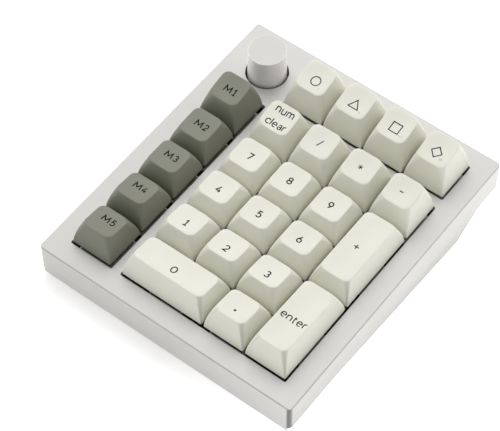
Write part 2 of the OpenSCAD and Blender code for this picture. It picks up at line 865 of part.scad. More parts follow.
module knob() {
    r = knob_d / 2;
    edge = 0.3;
    rim_r = r - 0.4;
    skirt = -0.9;
    hub_r = 4.4;
    hub_bottom = 0.4;
    skirt_r = r - 1.4;
    recess_top = 7;
    color([0.83, 0.82, 0.81]) at_encoder() difference() {
        rotate_extrude($fn = 96) polygon([[0, hub_bottom], [hub_r, hub_bottom],
            [hub_r, recess_top], [skirt_r, recess_top], [skirt_r, skirt], [r, skirt],
            [rim_r, knob_top - edge], [rim_r - edge, knob_top], [0, knob_top]]);
        difference() {
            rod(shaft_r + 0.03, [hub_bottom - eps, shaft_top + 0.3]);
            block([shaft_flat_x + 0.05, 4], [-4, 4], [shaft_flat_bottom + 0.1, shaft_top + 1]);
        }
    }
}

// ---- rear connectors and power ----

module usb_socket() {
    inside = 0.3;
    length = [-66.4, -59.1];
    color(steel) on_deck() translate([0, 0, port_z]) rotate([90, 0, 0]) {
        difference() {
            rounded_block(port_w, port_h, port_h / 2 - 0.01, length);
            rounded_block(port_w - 2 * inside, port_h - 2 * inside, port_h / 2 - inside - 0.01,
                [length[0] - eps, length[1] - 1]);
        }
        translate([0, 0, -62.6]) block_about(6.6, 0.7, [-2.8, 2.6]);
    }
}

module mode_switch_body() {
    x = [mode_x - 4.5, mode_x + 4.5];
    color(steel) on_deck() difference() {
        block(x, [57.9, 62.4], [board_top, mode_z + 1.7]);
        block([mode_x - 3.9, mode_x + 3.9], [59.4, 61.4], [mode_z - 1, mode_z + 1]);
        block([mode_x - 3, mode_x + 3], [61, 63], [mode_z - 0.8, mode_z + 0.8]);
    }
}

module mode_slider() {
    color(black) on_deck() translate([mode_x, 0, mode_z]) {
        block([-1.7, 1.7], [59.6, 61.2], [-0.8, 0.8]);
        block([-0.8, 0.8], [61.1, back_y - 0.5], [-0.6, 0.6]);
    }
}

battery_y = 2;
battery_half_w = 28;
battery_d = 32;
battery_h = 4;

module battery() {
    color([0.75, 0.76, 0.78]) on_deck() on_underside(battery_y, floor_thick + 0.1) {
        block([-battery_half_w, battery_half_w], [0, battery_d], [0, battery_h]);
    }
}

connector_x = key_x(1.5);
connector_y = key_y(0.625);

// A round wire from p to q with a round end at q
module wire_run(p, q, r) {
    v = q - p;
    length = norm(v);
    translate(p) rotate([0, acos(v[2] / length), atan2(v[1], v[0])]) cylinder(r = r, h = length);
    translate(q) sphere(r = r);
}

module battery_lead() {
    r = 0.45;
    low_z = underside_z(battery_y + battery_d) + floor_thick + 2;
    high_z = board_bottom - 2;
    turn_y = battery_y + battery_d + 0.9;
    for (side = [-1, 1]) {
        x = connector_x + side * 1;
        path = [[x, turn_y - 0.5, low_z], [x, turn_y, low_z], [x, turn_y, high_z],
            [x, connector_y - 2.2, high_z]];
        color(side < 0 ? black : [0.7, 0.1, 0.1]) on_deck() {
            for (i = [0:2]) wire_run(path[i], path[i + 1], r);
        }
    }
}

module battery_connector() {
    color([0.92, 0.91, 0.86]) on_deck() translate([connector_x, connector_y, 0]) difference() {
        block_about(6, 3.6, [board_bottom - 3.4, board_bottom]);
        for (x = [-1, 1]) block([x - 0.6, x + 0.6], [-2, -0.2], [board_bottom - 2.6, -14]);
    }
}

module controller_chip() {
    color(black) on_deck() translate([key_x(0.5), key_y(0) - 3.5, 0]) {
        block_about(6.8, 6.8, [board_bottom - 1, board_bottom]);
    }
}

module radio_module() {
    color(steel) on_deck() translate([encoder_x, encoder_y, 0]) {
        block([-6.5, 6.5], [-8.5, 5], [board_bottom - 0.8, board_bottom]);
        block([-5.5, 5.5], [-7.5, 1], [board_bottom - 2.2, board_bottom - 0.8 + eps]);
    }
}

// ---- output ----

top_case();
bottom_case();
rubber_feet();
case_screws();
gaskets();
switch_plate();
plate_foam();
circuit_board();
case_foam();
pcb_standoffs();
plate_screws();
pcb_screws();
switch_top_housings();
switch_bottom_housings();
switch_springs();
switch_contacts();
switch_sockets();
diodes();
stabiliser_housings();
stabiliser_wire_plus();
stabiliser_wire_enter();
stabiliser_wire_0();
encoder_body();
encoder_rotor();
encoder_shaft();
knob();
usb_socket();
mode_switch_body();
mode_slider();
battery();
battery_lead();
battery_connector();
controller_chip();
radio_module();
for (k = keys) key(k[0]);
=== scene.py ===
"""Looks for the numeric keypad: keycaps with printed legends, coated case, knob, switches and studio.

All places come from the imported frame. The deck frame is the keypad's own leaning frame: its
origin is the middle of the deck's top face, X is to the right, Y to the back and Z along the keys.
"""
import json
import math

import bpy
import bmesh
from mathutils import Matrix, Vector


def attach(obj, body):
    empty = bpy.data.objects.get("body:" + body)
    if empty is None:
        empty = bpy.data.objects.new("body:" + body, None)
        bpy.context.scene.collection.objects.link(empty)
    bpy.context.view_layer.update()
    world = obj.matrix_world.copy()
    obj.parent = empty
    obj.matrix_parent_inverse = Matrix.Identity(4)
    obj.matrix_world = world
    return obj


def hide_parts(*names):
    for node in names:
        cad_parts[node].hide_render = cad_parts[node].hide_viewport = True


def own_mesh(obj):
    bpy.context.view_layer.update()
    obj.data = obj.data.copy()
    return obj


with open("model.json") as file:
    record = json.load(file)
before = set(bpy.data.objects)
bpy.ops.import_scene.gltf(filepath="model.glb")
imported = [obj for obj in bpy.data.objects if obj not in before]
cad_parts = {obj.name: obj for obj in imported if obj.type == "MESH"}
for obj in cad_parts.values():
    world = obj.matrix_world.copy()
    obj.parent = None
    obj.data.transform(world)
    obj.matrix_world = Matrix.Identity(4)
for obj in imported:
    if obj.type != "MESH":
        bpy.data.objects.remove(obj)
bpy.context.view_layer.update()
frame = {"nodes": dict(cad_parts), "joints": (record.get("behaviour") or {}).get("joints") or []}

MM = 0.001
PITCH = 19.05
GRID_COLUMNS = (-1.75, 3.5)
GRID_ROWS = (-4.5, 1.75)
SIDE_COLUMN = -1.25
TOP_ROW = 1.25

# Keycaps, in mm
CAP_FOOT_Z = 0.4
CAP_BASE = 18.1
CAP_TOP = 12.9
CAP_WALL = 1.4
CAP_ROOF = 2.2
BASE_CORNER = 0.5
TOP_CORNER = 2.9
SIDE_BOW = 1.7
DISH_DEPTH = 0.55
DISH_REACH = 7.3
EDGE_ROUND = 0.25
LEGEND_THICK = 0.05
LEGEND_PROUD = 0.015
# Strokes that cross lie this far above one another
LEGEND_STEP = 0.004

# Front edge y, z and back edge y, z of the top face, for each keycap row
LOW = (-5.75, 11.7, 6.35, 10.0)
MID = (-5.7, 10.2, 6.4, 10.2)
HIGH = (-6.1, 9.9, 6.65, 10.5)
TILTED = (-5.8, 12.2, 6.1, 14.8)
TOP = (-6.15, 12.7, 6.35, 15.9)

# Node: column, row, units wide, units deep, top face, legend, legend's place on the cap
KEYS = {
    "key_macro_1": (SIDE_COLUMN, 0, 1, 1, TILTED, "M1", (0.45, -0.37)),
    "key_macro_2": (SIDE_COLUMN, -1, 1, 1, HIGH, "M2", (0.43, 0.45)),
    "key_macro_3": (SIDE_COLUMN, -2, 1, 1, MID, "M3", (0.43, 0.95)),
    "key_macro_4": (SIDE_COLUMN, -3, 1, 1, LOW, "M4", (0.4, 1.25)),
    "key_macro_5": (SIDE_COLUMN, -4, 1, 1, LOW, "M5", (0.5, 1.5)),
    "key_circle": (0, TOP_ROW, 1, 1, TOP, "circle", (0.52, -0.97)),
    "key_triangle": (1, TOP_ROW, 1, 1, TOP, "triangle", (0.22, -1.52)),
    "key_square": (2, TOP_ROW, 1, 1, TOP, "square", (0.12, -1.02)),
    "key_diamond": (3, TOP_ROW, 1, 1, TOP, "diamond", (0.02, -1.02)),
    "key_num_clear": (0, 0, 1, 1, TILTED, "num clear", (0.3, 0.18)),
    "key_divide": (1, 0, 1, 1, TILTED, "/", (0.25, -0.07)),
    "key_multiply": (2, 0, 1, 1, TILTED, "*", (-0.05, 0.03)),
    "key_minus": (3, 0, 1, 1, TILTED, "-", (-0.25, 0.03)),
    "key_7": (0, -1, 1, 1, HIGH, "7", (0.43, -0.1)),
    "key_8": (1, -1, 1, 1, HIGH, "8", (0.28, -0.1)),
    "key_9": (2, -1, 1, 1, HIGH, "9", (0.03, -0.1)),
    "key_4": (0, -2, 1, 1, MID, "4", (0.33, -0.25)),
    "key_5": (1, -2, 1, 1, MID, "5", (0.23, -0.25)),
    "key_6": (2, -2, 1, 1, MID, "6", (-0.02, -0.25)),
    "key_1": (0, -3, 1, 1, LOW, "1", (0.45, -1.1)),
    "key_2": (1, -3, 1, 1, LOW, "2", (0.2, -1.1)),
    "key_3": (2, -3, 1, 1, LOW, "3", (0.1, -1.1)),
    "key_plus": (3, -1.5, 1, 2, MID, "+", (-0.47, 0.15)),
    "key_enter": (3, -3.5, 1, 2, LOW, "enter", (0.3, -1.45)),
    "key_0": (0.5, -4, 2, 1, LOW, "0", (0.2, -1.15)),
    "key_point": (2, -4, 1, 1, LOW, ".", (0.0, -1.6)),
}

JOINTS = {j["name"]: j for j in frame["joints"]}


# ---- the deck frame, from the frame's own joints ----

def deck_frame():
    """The knob's axis gives the deck's lean, and its pivot lies under a known place in the grid."""
    turn = JOINTS["knob_turn"]
    axis = Vector(turn["axis"]).normalized()
    lean = math.atan2(-axis.y, axis.z)
    knob_x = (SIDE_COLUMN - sum(GRID_COLUMNS) / 2) * PITCH
    knob_y = (TOP_ROW - sum(GRID_ROWS) / 2) * PITCH
    pivot_z = -8.0
    rotation = Matrix.Rotation(lean, 4, "X")
    offset = rotation @ (Vector((knob_x, knob_y, pivot_z)) * MM)
    return Matrix.Translation(Vector(turn["pos_m"]) - offset) @ rotation @ Matrix.Scale(MM, 4)


DECK = deck_frame()


def key_centre(column, row):
    return Vector(((column - sum(GRID_COLUMNS) / 2) * PITCH, (row - sum(GRID_ROWS) / 2) * PITCH, 0))


# ---- mesh helpers ----

def add_object(name, bm, materials, place=DECK, smooth=True, sharp_deg=40):
    """Turns a bmesh in the deck frame's millimetres into an object, with sharp edges kept."""
    bmesh.ops.recalc_face_normals(bm, faces=bm.faces)
    for face in bm.faces:
        face.smooth = smooth
    mesh = bpy.data.meshes.new(name)
    bm.transform(place)
    bm.to_mesh(mesh)
    bm.free()
    for m in materials:
        mesh.materials.append(m)
    mesh.set_sharp_from_angle(angle=math.radians(sharp_deg))
    obj = bpy.data.objects.new(name, mesh)
    bpy.context.scene.collection.objects.link(obj)
    return obj


def join_rings(bm, ring_a, ring_b):
    n = len(ring_a)
    for i in range(n):
        j = (i + 1) % n
        bm.faces.new((ring_a[i], ring_a[j], ring_b[j], ring_b[i]))


def add_ring(bm, points):
    return [bm.verts.new(p) for p in points]


def mix(a, b, t):
    return a + (b - a) * t


def lathe(bm, profile, centre=(0, 0), steps=128):
    """Turns a closed (radius, z) profile about an axis along Z. Points at radius 0 become poles."""
    rings = []
    for radius, z in profile:
        if radius == 0:
            rings.append([bm.verts.new((centre[0], centre[1], z))])
        else:
            turn = [2 * math.pi * i / steps for i in range(steps)]
            rings.append(add_ring(bm, [(centre[0] + radius * math.cos(a),
                                        centre[1] + radius * math.sin(a), z) for a in turn]))
    for a, b in zip(rings, rings[1:] + rings[:1]):
        if len(a) == 1 and len(b) == 1:
            continue
        if len(a) == 1 or len(b) == 1:
            pole, ring = (a[0], b) if len(a) == 1 else (b[0], a)
            for i in range(steps):
                bm.faces.new((ring[i], ring[(i + 1) % steps], pole))
        else:
            join_rings(bm, a, b)


# ---- materials ----

def new_material(name):
    m = bpy.data.materials.new(name)
    m.use_nodes = True
    nodes, links = m.node_tree.nodes, m.node_tree.links
    return m, nodes, links, nodes["Principled BSDF"]


def object_noise(nodes, links, scale, detail=3.0, roughness=0.5):
    coords = nodes.new("ShaderNodeTexCoord")
    noise = nodes.new("ShaderNodeTexNoise")
    noise.inputs["Scale"].default_value = scale
    noise.inputs["Detail"].default_value = detail
    noise.inputs["Roughness"].default_value = roughness
    links.new(coords.outputs["Object"], noise.inputs["Vector"])
    return noise


def map_range(nodes, links, source, low, high, from_low=0.3, from_high=0.7):
    node = nodes.new("ShaderNodeMapRange")
    node.inputs["From Min"].default_value = from_low
    node.inputs["From Max"].default_value = from_high
    node.inputs["To Min"].default_value = low
    node.inputs["To Max"].default_value = high
    links.new(source, node.inputs["Value"])
    return node.outputs["Result"]


def mix_colours(nodes, links, factor, a, b):
    node = nodes.new("ShaderNodeMix")
    node.data_type = "RGBA"
    links.new(factor, node.inputs["Factor"])
    node.inputs["A"].default_value = (*a, 1)
    node.inputs["B"].default_value = (*b, 1)
    return node.outputs["Result"]


def surface(name, colour, roughness, metallic=0.0, mottle=0.03, mottle_scale=60, grain=0.0,
            grain_scale=6000, rough_spread=0.05, coat=0.0, sheen=0.0, transmission=0.0,
            subsurface=0.0, specular=0.5):
    """A moulded, coated or machined surface: slow colour drift, uneven gloss and fine grain."""
    m, nodes, links, bsdf = new_material(name)
    drift = object_noise(nodes, links, mottle_scale, 4)
    factor = map_range(nodes, links, drift.outputs["Fac"], 0, 1)
    dark = [c * (1 - mottle) for c in colour]
    light = [min(1, c * (1 + mottle)) for c in colour]
    links.new(mix_colours(nodes, links, factor, dark, light), bsdf.inputs["Base Color"])
    fine = object_noise(nodes, links, grain_scale, 2)
    low, high = max(0, roughness - rough_spread), min(1, roughness + rough_spread)
    links.new(map_range(nodes, links, fine.outputs["Fac"], low, high), bsdf.inputs["Roughness"])
    if grain:
        bump = nodes.new("ShaderNodeBump")
        bump.inputs["Strength"].default_value = grain
        bump.inputs["Distance"].default_value = 0.00003
        links.new(fine.outputs["Fac"], bump.inputs["Height"])
        links.new(bump.outputs["Normal"], bsdf.inputs["Normal"])
    bsdf.inputs["Metallic"].default_value = metallic
    bsdf.inputs["Coat Weight"].default_value = coat
    bsdf.inputs["Coat Roughness"].default_value = 0.25
    bsdf.inputs["Sheen Weight"].default_value = sheen
    bsdf.inputs["Transmission Weight"].default_value = transmission
    bsdf.inputs["Specular IOR Level"].default_value = specular
    if subsurface:
        bsdf.inputs["Subsurface Weight"].default_value = subsurface
        bsdf.inputs["Subsurface Scale"].default_value = 0.001
    return m


def darken(m, mask, colour):
    """Mixes a darker colour into a material's base colour where the mask is 1."""
    nodes, links = m.node_tree.nodes, m.node_tree.links
    socket = nodes["Principled BSDF"].inputs["Base Color"]
    source = socket.links[0].from_socket
    node = nodes.new("ShaderNodeMix")
    node.data_type = "RGBA"
    links.new(mask, node.inputs["Factor"])
    links.new(source, node.inputs["A"])
    node.inputs["B"].default_value = (*colour, 1)
    links.new(node.outputs["Result"], socket)


def dot_with(nodes, links, vector, axis):
    node = nodes.new("ShaderNodeVectorMath")
    node.operation = "DOT_PRODUCT"
    links.new(vector, node.inputs[0])
    if isinstance(axis, bpy.types.NodeSocket):
        links.new(axis, node.inputs[1])
    else:
        node.inputs[1].default_value = axis
    return node.outputs["Value"]


def paint_case_edge_reflections(m):
    """Painted dark reflections: a fine darker line on the deck's cut edge, and corner posts dark face on.
    """
    nodes, links = m.node_tree.nodes, m.node_tree.links
    geometry = nodes.new("ShaderNodeNewGeometry")
    normal, view = geometry.outputs["Normal"], geometry.outputs["Incoming"]
    right, back, up = (tuple(DECK.col[i].to_3d().normalized()) for i in range(3))
    lean = dot_with(nodes, links, normal, up)
    slope_low = map_range(nodes, links, lean, 0, 1, 0.3, 0.55)
    slope_high = map_range(nodes, links, lean, 1, 0, 0.85, 0.98)
    # Painted dark reflection along the deck's cut edge
    darken(m, combine(nodes, links, "MULTIPLY", slope_low, slope_high), PAINTED_EDGE_REFLECTION_COLOUR)
    across, along = dot_with(nodes, links, normal, right), dot_with(nodes, links, normal, back)
    turn = combine(nodes, links, "MULTIPLY", across, along)
    post = map_range(nodes, links, combine(nodes, links, "ABSOLUTE", turn, 0), 0, 1, 0.08, 0.3)
    facing = map_range(nodes, links, dot_with(nodes, links, normal, view), 0, 1, 0.3, 0.55)
    from_above = map_range(nodes, links, dot_with(nodes, links, view, (0, 0, 1)), 0, 1, 0.45, 0.7)
    seen = combine(nodes, links, "MULTIPLY", facing, from_above)
    # Painted dark reflection on the corner posts where they face the view, with less metal, specular and
    # coat there
    painted_post_reflection = combine(nodes, links, "MULTIPLY", post, seen)
    darken(m, painted_post_reflection, PAINTED_CORNER_REFLECTION_COLOUR)
    elsewhere = combine(nodes, links, "SUBTRACT", 1, painted_post_reflection)
    bsdf = nodes["Principled BSDF"]
    for name in ("Metallic", "Specular IOR Level", "Coat Weight"):
        usual = bsdf.inputs[name].default_value
        links.new(combine(nodes, links, "MULTIPLY", elsewhere, usual), bsdf.inputs[name])


def paint_cap_corner_shade(m, colour):
    """Painted shade on a keycap's corners, where they face the view."""
    nodes, links = m.node_tree.nodes, m.node_tree.links
    geometry = nodes.new("ShaderNodeNewGeometry")
    normal, view = geometry.outputs["Normal"], geometry.outputs["Incoming"]
    right, back = (tuple(DECK.col[i].to_3d().normalized()) for i in range(2))
    across, along = dot_with(nodes, links, normal, right), dot_with(nodes, links, normal, back)
    turn = combine(nodes, links, "MULTIPLY", across, along)
    cut = map_range(nodes, links, combine(nodes, links, "ABSOLUTE", turn, 0), 0, 1, 0.15, 0.33)
    facing = map_range(nodes, links, dot_with(nodes, links, normal, view), 0, 1, 0.45, 0.7)
    darken(m, combine(nodes, links, "MULTIPLY", cut, facing), colour)


CASE = surface("coated_aluminium", (0.585, 0.575, 0.56), 0.5, metallic=0.25, grain=0.25,
               grain_scale=9000, mottle=0.012, coat=0.15)
# The top case's copy of the coating, which alone gets the painted dark reflections
TOP_CASE_PAINTED_REFLECTIONS = surface("coated_aluminium_top_painted_reflections", (0.585, 0.575, 0.56), 0.5, metallic=0.25, grain=0.25,
                   grain_scale=9000, mottle=0.012, coat=0.15)
# Colours of the painted dark reflections on the top case's cut edge and corner posts
PAINTED_EDGE_REFLECTION_COLOUR = (0.50, 0.495, 0.48)
PAINTED_CORNER_REFLECTION_COLOUR = (0.06, 0.06, 0.06)
CREAM = surface("cream_keycap", (0.80, 0.80, 0.71), 0.55, grain=0.3, grain_scale=5000, mottle=0.012)
# Colour of the painted shade on the corners of the keycaps by the case's open edges
PAINTED_CAP_CORNER_SHADE_COLOUR = (0.60, 0.60, 0.52)
SAGE = surface("sage_keycap", (0.215, 0.219, 0.17), 0.5, grain=0.3, grain_scale=5000, mottle=0.02)
INK = surface("legend_ink", (0.012, 0.012, 0.011), 0.6, mottle=0.05, specular=0.1)
SAGE_INK = surface("sage_legend_ink", (0.006, 0.006, 0.005), 0.6, mottle=0.05, specular=0.1)
FAINT_INK = surface("faint_legend_ink", (0.42, 0.42, 0.38), 0.5, mottle=0.05)
# One aluminium for the whole knob in two copies: the side's near-white is a painted reflection, the top's
# darker grey painted shade
KNOB_SIDE_PAINTED_REFLECTION = surface("knob_side_painted_reflection", (0.98, 0.97, 0.96), 0.36, metallic=0.12, grain=0.25,
               grain_scale=9000, mottle=0.01, coat=0.8)
KNOB_TOP_PAINTED_SHADE = surface("knob_top_painted_shade", (0.62, 0.61, 0.595), 0.55, metallic=0.2, grain=0.25,
                   grain_scale=9000, mottle=0.01)
STEEL = surface("steel", (0.56, 0.56, 0.57), 0.3, metallic=1.0, grain=0.2, mottle=0.03)
ZINC = surface("zinc_plate", (0.40, 0.40, 0.41), 0.38, metallic=1.0, grain=0.2, mottle=0.04)
BLACK_COAT = surface("black_coated_steel", (0.012, 0.012, 0.013), 0.6, grain=0.3, mottle=0.05)
BRASS = surface("brass", (0.76, 0.58, 0.26), 0.3, metallic=1.0, mottle=0.03)
COPPER = surface("copper_alloy", (0.78, 0.44, 0.26), 0.3, metallic=1.0, mottle=0.04)
BOARD = surface("board_mask", (0.015, 0.05, 0.03), 0.25, mottle=0.25, mottle_scale=900, coat=0.5)
FOAM = surface("foam_sheet", (0.03, 0.03, 0.033), 0.95, grain=0.9, grain_scale=2500, mottle=0.2)
RUBBER = surface("rubber", (0.02, 0.02, 0.021), 0.75, grain=0.5, mottle=0.1)
BLACK = surface("black_plastic", (0.018, 0.018, 0.019), 0.45, grain=0.2, mottle=0.05)
CLEAR = surface("clear_plastic", (0.88, 0.91, 0.93), 0.12, transmission=0.85, mottle=0.01,
                rough_spread=0.02)
MILKY = surface("milky_plastic", (0.80, 0.79, 0.73), 0.4, mottle=0.01, subsurface=0.2)
RED = surface("red_slider", (0.55, 0.02, 0.015), 0.35, mottle=0.02)
FOIL = surface("battery_foil", (0.50, 0.51, 0.53), 0.35, metallic=0.8, grain=0.6, grain_scale=1500,
               mottle=0.03)
LEAD = surface("lead_cover", (0.30, 0.02, 0.015), 0.4, mottle=0.05)
# Keycaps beside the case's open front and right edge get a cream copy with painted shade on their corners
CREAM_PAINTED_CORNER_SHADE = surface("cream_keycap_painted_corner_shade", (0.80, 0.80, 0.71), 0.55, grain=0.3,
                         grain_scale=5000, mottle=0.012)
KEYS_WITH_PAINTED_CORNER_SHADE = ("key_0", "key_point", "key_enter", "key_plus")

NODE_MATERIALS = {
    "top_case": TOP_CASE_PAINTED_REFLECTIONS, "bottom_case": CASE, "rubber_feet": RUBBER, "case_screws": ZINC,
    "gaskets": FOAM, "switch_plate": BLACK_COAT, "plate_foam": FOAM, "circuit_board": BOARD,
    "case_foam": FOAM, "pcb_standoffs": BRASS, "plate_screws": ZINC, "pcb_screws": ZINC,
    "switch_top_housings": CLEAR, "switch_bottom_housings": MILKY,
    "switch_contacts": COPPER, "switch_sockets": BLACK, "diodes": BLACK,
    "stabiliser_housings": BLACK, "stabiliser_wire_plus": STEEL, "stabiliser_wire_enter": STEEL,
    "stabiliser_wire_0": STEEL, "encoder_body": ZINC, "encoder_rotor": BRASS,
    "encoder_shaft": STEEL, "usb_socket": STEEL, "mode_switch_body": ZINC, "mode_slider": BLACK,
    "battery": FOIL, "battery_lead": LEAD, "battery_connector": MILKY, "controller_chip": BLACK,
    "radio_module": ZINC,
}


def finish_cad_nodes():
    for name, material in NODE_MATERIALS.items():
        mesh = frame["nodes"][name].data
        mesh.materials.clear()
        mesh.materials.append(material)


# ---- keycaps ----

class CapShape:
    """The outline of one keycap at each height, in mm from the key's centre on the deck."""

    def __init__(self, wide, deep, top):
        self.front, self.front_z, self.back, self.back_z = top
        self.grow_x = (wide - 1) * PITCH / 2
        self.grow_y = (deep - 1) * PITCH / 2
        self.top_half = CAP_TOP / 2 + self.grow_x
        self.middle_y = (self.front + self.back) / 2

    def bowed(self, t):
        return t ** SIDE_BOW

    def sides(self, t):
        b = self.bowed(t)
        half_x = mix(CAP_BASE, CAP_TOP, b) / 2 + self.grow_x
        front = mix(-CAP_BASE / 2, self.front, b) - self.grow_y
        back = mix(CAP_BASE / 2, self.back, b) + self.grow_y
        return half_x, front, back, mix(BASE_CORNER, TOP_CORNER, b)

    def top_z(self, y):
        share = (y - self.front + self.grow_y) / (self.back - self.front + 2 * self.grow_y)
        return mix(self.front_z, self.back_z, share)

    def dish(self, x, y):
        """Depth of the finger dish, which runs along the cap's long side and fades at its edge."""
        dx = max(0, abs(x) - self.grow_x)
        dy = max(0, abs(y - self.middle_y) - self.grow_y)
        near = min(1, math.hypot(dx, dy) / DISH_REACH)
        return DISH_DEPTH * (1 - near ** 2) ** 2

    def face_z(self, x, y):
        return self.top_z(y) - self.dish(x, y)


CORNER_STEPS = 8
SIDE_PARTS = 8


def outline(half_x, front, back, radius):
    """Anticlockwise points of a rounded rectangle, the same number for every size."""
    middle = (front + back) / 2
    half_y = (back - front) / 2
    corners = [(1, 1, 0), (-1, 1, 90), (-1, -1, 180), (1, -1, 270)]
    arcs = []
    for sx, sy, start in corners:
        cx, cy = sx * (half_x - radius), middle + sy * (half_y - radius)
        turns = [math.radians(start + 90 * i / CORNER_STEPS) for i in range(CORNER_STEPS + 1)]
        arcs.append([(cx + radius * math.cos(a), cy + radius * math.sin(a)) for a in turns])
    points = []
    for arc, following in zip(arcs, arcs[1:] + arcs[:1]):
        points += arc
        (x0, y0), (x1, y1) = arc[-1], following[0]
        points += [(mix(x0, x1, i / SIDE_PARTS), mix(y0, y1, i / SIDE_PARTS))
                   for i in range(1, SIDE_PARTS)]
    return points


def cap_level(shape, t, inset=0.0):
    half_x, front, back, radius = shape.sides(t)
    flat = outline(half_x - inset, front + inset, back - inset, max(0.3, radius - inset))
    return [Vector((x, y, mix(CAP_FOOT_Z, shape.top_z(y), t))) for x, y in flat]


def cap_skin(bm, shape):
    """Outside, rounded top edge, dish, lower rim and hollow inside, as one closed skin."""
    side_levels = [0, 0.02, 0.12, 0.24, 0.36, 0.48, 0.6, 0.72, 0.84, 0.93, 0.965]
    rings = [cap_level(shape, t) for t in side_levels]
    rings[0] = cap_level(shape, 0, inset=0.25)
    rings[1] = cap_level(shape, 0.02)

    edge = cap_level(shape, 1)
    half_x, front, back, radius = shape.sides(1)
    inner = outline(half_x - EDGE_ROUND, front + EDGE_ROUND, back - EDGE_ROUND, radius - EDGE_ROUND)
    inner = [Vector((x, y, shape.face_z(x, y))) for x, y in inner]
    start = rings[-1]
    for u in (0.2, 0.4, 0.6, 0.8):
        rings.append([a * (1 - u) ** 2 + e * (2 * u * (1 - u)) + b * u ** 2
                      for a, e, b in zip(start, edge, inner)])
    rings.append(inner)

    core_x = shape.grow_x
    core_y = shape.grow_y
    for share in (0.86, 0.72, 0.58, 0.44, 0.3, 0.16, 0.06):
        level = []
        for p in inner:
            x0 = max(-core_x, min(core_x, p.x))
            y0 = max(shape.middle_y - core_y, min(shape.middle_y + core_y, p.y))
            x, y = mix(x0, p.x, share), mix(y0, p.y, share)
            level.append(Vector((x, y, shape.face_z(x, y))))
        rings.append(level)

    loops = [add_ring(bm, ring) for ring in rings]
    for a, b in zip(loops, loops[1:]):
        join_rings(bm, a, b)
    cap_lid(bm, loops[-1])

    roof = min(shape.front_z, shape.back_z) - CAP_ROOF
    hollow = [cap_level(shape, 0, inset=CAP_WALL - 0.2), cap_level(shape, 0.02, inset=CAP_WALL)]
    for t in (0.3, 0.55, 0.75):
        hollow.append([Vector((p.x, p.y, mix(CAP_FOOT_Z, roof, t / 0.75)))
                       for p in cap_level(shape, t, inset=CAP_WALL)])
    inside = [add_ring(bm, ring) for ring in hollow]
    join_rings(bm, loops[0], inside[0])
    for a, b in zip(inside, inside[1:]):
        join_rings(bm, a, b)
    bm.faces.new(inside[-1])


def cap_lid(bm, ring):
    """Closes the last ring of a dish with one face."""
    bm.faces.new(ring)


def cap_post(bm, x, y, roof):
    """The round post under a cap, with the cross-shaped socket for the switch's slider."""
    reach, half_slot, outer = 2.05, 0.675, 2.75
    bottom, socket_top = 0.95, 4.35
    steps = 48

    def socket_radius(a):
        c, s = abs(math.cos(a)), abs(math.sin(a))
        along_x = min(reach / max(c, 1e-9), half_slot / max(s, 1e-9))
        along_y = min(half_slot / max(c, 1e-9), reach / max(s, 1e-9))
        return max(along_x, along_y)

    turns = [2 * math.pi * i / steps for i in range(steps)]
    corner = math.atan2(half_slot, reach)
    special = [k * math.pi / 2 + d for k in range(4) for d in (-corner, corner, math.pi / 4)]
    turns = sorted(set(round(a % (2 * math.pi), 6) for a in turns + special))

    def ring(radius_at, z):
        return add_ring(bm, [(x + radius_at(a) * math.cos(a), y + radius_at(a) * math.sin(a), z)
                             for a in turns])

    outer_top = ring(lambda a: outer, roof + 0.5)
    outer_low = ring(lambda a: outer, bottom)
    socket_low = ring(socket_radius, bottom)
    socket_high = ring(socket_radius, socket_top)
    join_rings(bm, outer_top, outer_low)
    join_rings(bm, outer_low, socket_low)
    join_rings(bm, socket_low, socket_high)
    bm.faces.new(socket_high)
    bm.faces.new(outer_top)


# ---- legends: flat outlines laid on the dish ----

def band_outline(path, width, closed=True):
    """A line of even width along a path of points, as quads."""
    points, faces = [], []
    n = len(path)
    for i, p in enumerate(path):
        before = path[i - 1] if closed or i > 0 else p
        after = path[(i + 1) % n] if closed or i < n - 1 else p
        d0 = (Vector(p) - Vector(before))
        d1 = (Vector(after) - Vector(p))
        d0 = d0.normalized() if d0.length > 1e-9 else d1.normalized()
        d1 = d1.normalized() if d1.length > 1e-9 else d0
        normal = Vector((-(d0.y + d1.y), d0.x + d1.x)).normalized()
        miter = width / 2 / max(0.4, normal.dot(Vector((-d1.y, d1.x))))
        points.append((p[0] + normal.x * miter, p[1] + normal.y * miter))
        points.append((p[0] - normal.x * miter, p[1] - normal.y * miter))
    for i in range(n if closed else n - 1):
        j = (i + 1) % n
        faces.append((2 * i, 2 * i + 1, 2 * j + 1, 2 * j))
    return points, faces


def polygon_path(sides, radius, turn_deg, parts=6):
    """Points along a regular polygon, with each side split so that it follows the dish."""
    corners = [(radius * math.cos(math.radians(turn_deg) + 2 * math.pi * i / sides),
                radius * math.sin(math.radians(turn_deg) + 2 * math.pi * i / sides))
               for i in range(sides)]
    path = []
    for (x0, y0), (x1, y1) in zip(corners, corners[1:] + corners[:1]):
        path += [(mix(x0, x1, i / parts), mix(y0, y1, i / parts)) for i in range(parts)]
    return path


def moved(shape_2d, dx, dy, scale=1.0):
    points, faces = shape_2d
    return [(x * scale + dx, y * scale + dy) for x, y in points], faces


def arc_path(cx, cy, radius, start_deg, end_deg, steps=10):
    turns = [math.radians(mix(start_deg, end_deg, i / steps)) for i in range(steps + 1)]
    return [(cx + radius * math.cos(a), cy + radius * math.sin(a)) for a in turns]


def dot(x, y, radius, steps=16):
    turns = [2 * math.pi * i / steps for i in range(steps)]
    return [(x + radius * math.cos(a), y + radius * math.sin(a)) for a in turns], [tuple(range(steps))]


LINE = 0.42
DIGIT_LINE = 0.5
WORD_LINE = 0.43
MACRO_LINE = 0.5
FINE_LINE = 0.16
DIGIT_HEIGHT = 2.85
MACRO_HEIGHT = 2.6
WORD_HEIGHT = 2.9
ENTER_HEIGHT = 3.0


def oval(cx, cy, rx, ry, start_deg, end_deg, steps=14):
    turns = [math.radians(mix(start_deg, end_deg, i / steps)) for i in range(steps + 1)]
    return [(cx + rx * math.cos(a), cy + ry * math.sin(a)) for a in turns]


